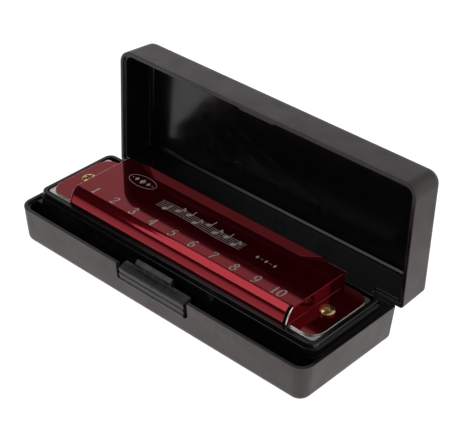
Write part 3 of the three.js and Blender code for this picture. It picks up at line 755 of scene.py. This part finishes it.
def cover_piece(name, node, place, cover):
    def pick(centre, normal):
        """Lacquer all over, bare metal on the cut edges, and a painted highlight of bare metal along the
        rounded top-left bend of the raised part.
        """
        flange_edge = abs(normal.z) < 0.8 and centre.z < FLANGE_TOP - 0.02 and \
            (abs(centre.x) > DOME_RIGHT + 0.6 or centre.y > DOME_BACK + 0.1)
        wall_edge = (centre.x > DOME_RIGHT - COVER_SHEET - 0.02 and normal.y < -0.45
                     and centre.y > LIP_FRONT)
        # Painted highlight: the rounded bend from the top to the left end wall gets the bare-metal
        # colour; a few left-hand cut-edge roundings fall in here too.
        left_highlight_and_cut_edges = centre.x < DOME_LEFT + 0.2 and normal.x < -0.2 and normal.z > 0.35
        return 1 if flange_edge or wall_edge or left_highlight_and_cut_edges else 0

    piece = make_piece(cover, name, "harmonica", [RED, BARE_EDGE_AND_HIGHLIGHT], [node], pick, place)
    if place is UPSIDE_DOWN:
        piece.data.flip_normals()
    return piece


# ---- Etched numbers and ornament --------------------------------------------------------

# Each stroke is a line of points in a cell 0.6 wide and 1 high. "C" strokes are smooth curves.
DIGIT_STROKES = {
    "0": [("C", [(.3, 1), (.1, .84), (.04, .5), (.1, .16), (.3, 0), (.5, .16), (.56, .5), (.5, .84),
                 (.3, 1)])],
    "1": [("L", [(.12, .8), (.34, 1), (.34, 0)]), ("L", [(.14, .02), (.54, .02)])],
    "2": [("C", [(.08, .74), (.14, .93), (.32, 1), (.5, .9), (.5, .68), (.32, .36), (.06, .03)]),
          ("C", [(.06, .03), (.24, .07), (.44, .02), (.56, .2)])],
    "3": [("C", [(.1, .82), (.2, .97), (.36, 1), (.5, .84), (.4, .62), (.24, .55)]),
          ("C", [(.24, .55), (.46, .48), (.54, .26), (.42, .05), (.22, 0), (.06, .15)])],
    "4": [("L", [(.44, 1), (.04, .3), (.6, .3)]), ("L", [(.44, 1), (.44, 0)]),
          ("L", [(.3, .02), (.58, .02)])],
    "5": [("L", [(.54, .98), (.2, .98), (.14, .56)]),
          ("C", [(.14, .56), (.32, .63), (.52, .5), (.54, .26), (.4, .04), (.2, 0), (.05, .13)])],
    "6": [("C", [(.52, .9), (.36, 1), (.16, .78), (.06, .4), (.14, .08), (.32, 0), (.5, .14),
                 (.52, .38), (.38, .56), (.2, .5), (.08, .3)])],
    "7": [("L", [(.08, .8), (.1, .97), (.56, .97)]),
          ("C", [(.56, .97), (.38, .62), (.26, .3), (.24, 0)])],
    "8": [("C", [(.3, .55), (.14, .68), (.14, .88), (.3, 1), (.46, .88), (.46, .68), (.3, .55)]),
          ("C", [(.3, .55), (.06, .38), (.06, .13), (.3, 0), (.54, .13), (.54, .38), (.3, .55)])],
    "9": [("C", [(.08, .1), (.24, 0), (.44, .22), (.54, .6), (.46, .92), (.28, 1), (.1, .86),
                 (.08, .62), (.22, .44), (.4, .5), (.52, .7)])],
}
DIGIT_HEIGHT = 3.2
DIGIT_BASE = -7.9
DIGIT_SLANT = 0.04
DIGIT_WIDTH = 0.92
PEN_THICK = 0.5
PEN_THIN = 0.2
PEN_ANGLE = math.radians(28)
DIGIT_PITCH = 0.72
DIGIT_MARGIN = 0.06
STROKE_STEP = 0.003
ETCH_LIFT = 0.012
ETCH_DEPTH = 0.03


def smooth_line(points, steps=6):
    """A Catmull-Rom curve through the points."""
    ends = [points[0]] + list(points) + [points[-1]]
    line = []
    for i in range(len(points) - 1):
        p0, p1, p2, p3 = (Vector(p) for p in ends[i:i + 4])
        for step in range(steps):
            t = step / steps
            line.append(0.5 * (2 * p1 + (p2 - p0) * t + (2 * p0 - 5 * p1 + 4 * p2 - p3) * t * t
                               + (3 * p1 - p0 - 3 * p2 + p3) * t ** 3))
    return line + [Vector(points[-1])]


def ribbon(bm, line, half_width, level):
    """A thin flat band along a line of 2D points. half_width is a function of its direction."""
    rows = []
    for i, point in enumerate(line):
        before, after = line[max(i - 1, 0)], line[min(i + 1, len(line) - 1)]
        ahead = (after - before).normalized()
        half = half_width(math.atan2(ahead.y, ahead.x))
        side = Vector((-ahead.y, ahead.x)) * half
        rows.append([bm.verts.new((p.x, p.y, level - drop))
                     for p in (point + side, point - side) for drop in (0, ETCH_DEPTH)])
    for a, b in zip(rows, rows[1:]):
        for i, j in ((0, 2), (2, 3), (3, 1), (1, 0)):
            bm.faces.new((a[i], a[j], b[j], b[i]))
    for row in (rows[0], rows[-1]):
        bm.faces.new((row[0], row[1], row[3], row[2]))


def pen_half_width(direction):
    """Half the width that a broad pen leaves when it moves in a direction."""
    return max(PEN_THIN, PEN_THICK * abs(math.sin(direction - PEN_ANGLE))) / 2


def even(half):
    """A line of one width in every direction."""
    return lambda direction: half


def disc(bm, x, y, radius_x, radius_y, level, tilt=0.0, steps=20):
    """A thin flat oval, or with few steps a diamond."""
    turns = [2 * math.pi * step / steps for step in range(steps)]
    points = [Vector((radius_x * math.cos(t), radius_y * math.sin(t))) for t in turns]
    points = [Vector((x + p.x * math.cos(tilt) - p.y * math.sin(tilt),
                      y + p.x * math.sin(tilt) + p.y * math.cos(tilt))) for p in points]
    rows = [[bm.verts.new((p.x, p.y, level - drop)) for p in points] for drop in (ETCH_DEPTH, 0)]
    for i in range(steps):
        j = (i + 1) % steps
        bm.faces.new((rows[0][i], rows[0][j], rows[1][j], rows[1][i]))
    bm.faces.new(rows[0][::-1])
    bm.faces.new(rows[1])


def etched_piece(name, bm, place):
    bmesh.ops.recalc_face_normals(bm, faces=bm.faces)
    return make_piece(to_object(bm), name, "harmonica", [ETCHED], to_frame=place)


def etched_number(number, level):
    """A hole's number over its hole. Each stroke lies a hair above the last, so none flicker."""
    bm = bmesh.new()
    text = str(number)
    middle = (number - (HOLE_COUNT + 1) / 2) * HOLE_PITCH
    for place, digit in enumerate(text):
        left = middle + ((place - len(text) / 2) * DIGIT_PITCH + DIGIT_MARGIN) * DIGIT_HEIGHT
        for count, (kind, points) in enumerate(DIGIT_STROKES[digit]):
            line = smooth_line(points) if kind == "C" else [Vector(p) for p in points]
            line = [Vector((left + (p.x + DIGIT_SLANT * (p.y - 0.5)) * DIGIT_HEIGHT * DIGIT_WIDTH,
                            DIGIT_BASE + p.y * DIGIT_HEIGHT)) for p in line]
            ribbon(bm, line, pen_half_width, level + STROKE_STEP * count)
    return bm


STAVE_LEFT, STAVE_RIGHT = -17.3, 14.7
STAVE_LOW = 0.5
STAVE_GAP = 0.75
STAVE_WAVE = 0.35
STAVE_STEPS = 40
NOTE_LINES = (0, 2, 3, 1, 4, 2, 3, 1)
NOTE_PITCH = 3.7
OVAL_X, OVAL_Y = -28.4, 6.2
OVAL_HALF_X, OVAL_HALF_Y = 5.1, 2.5
SMALL_LEFT, SMALL_Y = 20.6, 1.4
SMALL_PITCH = 1.55


def stave_ornament(level):
    """Five waving lines with notes, in place of lettering."""
    bm = bmesh.new()
    length = STAVE_RIGHT - STAVE_LEFT

    def place(x, line_number):
        wave = STAVE_WAVE * math.sin((x - STAVE_LEFT) / length * 2 * math.pi)
        return Vector((x, STAVE_LOW + STAVE_GAP * line_number + wave))

    for line_number in range(5):
        line = [place(STAVE_LEFT + length * step / STAVE_STEPS, line_number)
                for step in range(STAVE_STEPS + 1)]
        ribbon(bm, line, even(0.07), level + 0.001 * line_number)
    for count, line_number in enumerate(NOTE_LINES):
        x, y = place(STAVE_LEFT + 3.2 + NOTE_PITCH * count, line_number)
        stem = x + 0.68
        disc(bm, x, y, 0.85, 0.6, level + 0.008, 0.4)
        ribbon(bm, [Vector((stem, y + 0.1)), Vector((stem, y + 2.6))], even(0.15), level + 0.01)
        if count % 2:
            flag = [(stem, y + 2.6), (x + 0.95, y + 2.0), (x + 1.5, y + 1.7), (x + 1.5, y + 1.1)]
            ribbon(bm, smooth_line(flag), even(0.2), level + 0.012)
    return bm


def diamond(bm, x, y, half_x, half_y, level):
    disc(bm, x, y, half_x, half_y, level, 0.0, 4)


def oval_ornament(level):
    """An oval line round three diamonds, in place of a label."""
    bm = bmesh.new()
    turns = [2 * math.pi * step / 48 for step in range(49)]
    outline = [Vector((OVAL_X + OVAL_HALF_X * math.cos(t), OVAL_Y + OVAL_HALF_Y * math.sin(t)))
               for t in turns]
    ribbon(bm, outline, even(0.08), level)
    for side, half_x, half_y in ((-1, 0.7, 0.85), (0, 1.0, 1.3), (1, 0.7, 0.85)):
        diamond(bm, OVAL_X + side * 2.3, OVAL_Y, half_x, half_y, level)
    for side in (-1, 1):
        disc(bm, OVAL_X + side * 3.9, OVAL_Y, 0.2, 0.2, level)
    return bm


def small_ornament(level):
    """A row of three diamonds with dashes between them, in place of small lettering."""
    bm = bmesh.new()
    for count in range(5):
        x = SMALL_LEFT + SMALL_PITCH * count
        if count % 2:
            ribbon(bm, [Vector((x - 0.45, SMALL_Y)), Vector((x + 0.45, SMALL_Y))], even(0.07), level)
        else:
            diamond(bm, x, SMALL_Y, 0.45, 0.8, level)
    return bm


# ---- Screws and nuts --------------------------------------------------------------------

def cover_screw(node, x):
    """A domed screw with a cross slot, its head just clear of the flange."""
    seat = FLANGE_TOP + SCREW_GAP
    shank, head, height = 1.0, 2.3, 1.3
    dome = [(head * math.cos(t), seat + 0.3 + (height - 0.3) * math.sin(t))
            for t in (math.pi / 2 * step / 9 for step in range(9))]
    profile = [(0.8, -FLANGE_TOP - 1.5), (shank, -FLANGE_TOP - 1.3), (shank, seat), (head - 0.1, seat),
               (head, seat + 0.1)] + dome + [(0.12, seat + height)]
    screw = turned(profile, x, SCREW_Y, 36)
    top = seat + height
    carve(screw, *[block((x - a, SCREW_Y - b, top - 0.62), (x + a, SCREW_Y + b, top + 1))
                   for a, b in ((1.35, 0.26), (0.26, 1.35))])
    soften(screw, 0.05, 2, 40)
    return make_piece(screw, node + "_turned", "harmonica", [SCREW], [node],
                      to_frame=UPRIGHT)


def cover_nut(node, x):
    top = -FLANGE_TOP - SCREW_GAP
    bottom, corner = top - 1.5, 2.2
    turns = [2 * math.pi * step / 6 + math.pi / 6 for step in range(6)]
    nut = skin([[(x + corner * math.cos(t), SCREW_Y + corner * math.sin(t), z) for t in turns]
                for z in (bottom, top)])
    carve(nut, turned([(1.25, bottom - 1), (1.25, top + 1)], x, SCREW_Y))
    soften(nut, 0.14, 2)
    return make_piece(nut, node + "_hexagon", "harmonica", [SCREW], [node],
                      to_frame=UPRIGHT)


# ---- Pieces carried over from the model -------------------------------------------------

def dress_node(node, material, width, angle=30):
    """Keeps a CAD piece's shape, rounds its edges a little and gives it its finish."""
    obj = frame["nodes"][node]
    obj.data.materials.clear()
    obj.data.materials.append(material)
    weld = obj.modifiers.new("weld", "WELD")
    weld.merge_threshold = 0.001 * MM
    modifier = obj.modifiers.new("edges", "BEVEL")
    modifier.width = width * MM
    modifier.segments = 2
    modifier.limit_method = "ANGLE"
    modifier.angle_limit = math.radians(angle)
    modifier.use_clamp_overlap = True


def dress_inner_pieces():
    dress_node("comb", COMB_PLASTIC, 0.15)
    for node in ("reed_plate_upper", "reed_plate_lower"):
        dress_node(node, PLATE, 0.06)
    for node in frame["nodes"]:
        if "_reed_" in node:
            dress_node(node, REED, 0.03)
        elif "_rivet_" in node or "nail" in node:
            dress_node(node, SCREW, 0.04)


# ---- Stage, light and camera ------------------------------------------------------------

# Metres. The two soft boxes share their edge at the bend and so make one folded panel.
SOFTBOX_FOOT = (-0.3535, 0.19)
SOFTBOX_BEND = (-0.232, 0.368)
SOFTBOX_HEAD = (0.027, 0.464)
SOFTBOX_SIDES = (-0.3016, -0.1116)
SOFTBOX_RADIANCE = 1.65
CAMERA_PLACE = Vector((0.22275, -0.23483, 0.24325))
CAMERA_TARGET = Vector((0.04004, -0.03274, 0.05941))
CAMERA_ROLL = math.radians(1.12)
CAMERA_LENS = 112.455
FLOOR_HALF = 3.0
# Painted light: the floor's glow in reflections, bright near the case (FLOOR_NEAR) fading to grey far off
# (FLOOR_FAR).
FLOOR_FADE = (0.03, 0.085)
FLOOR_NEAR = (1.0, 0.98, 0.98)
FLOOR_FAR = (0.62, 0.6, 0.6)


def pale_floor():
    """A glowing floor, as painted light: white where it is looked at. In reflections its glow is a
    painted pool of light, bright near the case and greyer far off.
    """
    bm = bmesh.new()
    bmesh.ops.create_grid(bm, x_segments=1, y_segments=1, size=FLOOR_HALF)
    floor = to_object(bm)
    floor.name = "floor"
    finish = Finish("pale_floor", Base_Color=(0.3, 0.3, 0.3, 1), Roughness=0.8, Emission_Strength=1.0)
    place = finish.node("TexCoord").outputs["Object"]
    depth = finish.node("SeparateXYZ", {0: place}).outputs["Y"]
    away = finish.node("Math", {0: depth}, operation="ABSOLUTE").outputs[0]
    reflected = finish.tint(finish.ramp(away, 0.0, 1.0, *FLOOR_FADE), FLOOR_NEAR, FLOOR_FAR)
    seen = finish.node("LightPath").outputs["Is Camera Ray"]
    finish.feed("Emission Color", finish.tint(seen, reflected, (1, 1, 1)))
    floor.data.materials.append(finish.material)


def studio_world():
    """A white sweep behind, low all round and on the right, greyer overhead, and dim in front."""
    world = bpy.data.worlds.new("studio")
    bpy.context.scene.world = world
    world.use_nodes = True
    tree = world.node_tree
    place = add_node(tree, "TexCoord").outputs["Generated"]
    parts = add_node(tree, "SeparateXYZ", {0: place}).outputs

    def ramp(axis, start, stop, low, high):
        links = {"Value": parts[axis], "From Min": start, "From Max": stop, "To Min": low, "To Max": high}
        return add_node(tree, "MapRange", links).outputs["Result"]

    def both(first, second, operation):
        return add_node(tree, "Math", {0: first, 1: second}, operation=operation).outputs[0]

    rear = both(ramp("Y", 0.12, 0.4, 0.0, 1.0), ramp("Z", 0.1, 1.0, 1.05, 0.1), "MULTIPLY")
    sides = both(ramp("Z", 0.2, 0.03, 0.04, 0.7), ramp("X", 0.5, 0.8, 0.0, 0.75), "MAXIMUM")
    background = tree.nodes["Background"]
    background.inputs["Color"].default_value = (1, 1, 1, 1)
    tree.links.new(both(rear, sides, "MAXIMUM"), background.inputs["Strength"])


def soft_box(name, low, high, left, right, radiance):
    """A glowing panel between two level edges, each given as (y, z), that faces down on the case."""
    low, high = Vector((0, *low)), Vector((0, *high))
    rise = high - low
    data = bpy.data.lights.new(name, "AREA")
    data.shape = "RECTANGLE"
    data.size = right - left
    data.size_y = rise.length
    data.energy = radiance * math.pi * data.size * data.size_y
    light = bpy.data.objects.new(name, data)
    across, up = Vector((1, 0, 0)), rise.normalized()
    turn = Matrix((across, up, across.cross(up))).transposed()
    light.rotation_euler = turn.to_euler()
    light.location = (low + high) / 2 + Vector(((left + right) / 2, 0, 0))
    bpy.context.scene.collection.objects.link(light)


def camera():
    data = bpy.data.cameras.new("camera")
    data.lens = CAMERA_LENS
    data.sensor_width = 36.0
    obj = bpy.data.objects.new("camera", data)
    bpy.context.scene.collection.objects.link(obj)
    turn = (CAMERA_TARGET - CAMERA_PLACE).to_track_quat("-Z", "Y").to_matrix()
    obj.location = CAMERA_PLACE
    obj.rotation_euler = (turn @ Matrix.Rotation(CAMERA_ROLL, 3, "Z")).to_euler()
    bpy.context.scene.camera = obj


# ---- Assembly ---------------------------------------------------------------------------

case_base()
case_lid()
case_latch()
hinge_pin("hinge_pin_left", -HINGE_X)
hinge_pin("hinge_pin_right", HINGE_X)

upper = cover_shape()
lower = upper.copy()
lower.data = upper.data.copy()
bpy.context.scene.collection.objects.link(lower)
cover_piece("upper_cover_plate", "cover_upper", UPRIGHT, upper)
cover_piece("lower_cover_plate", "cover_lower", UPSIDE_DOWN, lower)

etch_level = DOME_TOP + ETCH_LIFT
for hole in range(1, HOLE_COUNT + 1):
    etched_piece(f"hole_number_{hole}", etched_number(hole, etch_level), UPRIGHT)
etched_piece("stave_ornament", stave_ornament(etch_level), UPRIGHT)
etched_piece("oval_ornament", oval_ornament(etch_level), UPRIGHT)
etched_piece("small_ornament", small_ornament(etch_level), UPRIGHT)

for side, x in (("left", -SCREW_X), ("right", SCREW_X)):
    cover_screw("cover_screw_" + side, x)
    cover_nut("cover_nut_" + side, x)
dress_inner_pieces()

pale_floor()
studio_world()
soft_box("front_softbox", SOFTBOX_FOOT, SOFTBOX_BEND, *SOFTBOX_SIDES, SOFTBOX_RADIANCE)
soft_box("overhead_softbox", SOFTBOX_BEND, SOFTBOX_HEAD, *SOFTBOX_SIDES, SOFTBOX_RADIANCE)
camera()
bpy.context.scene.view_settings.view_transform = "Standard"
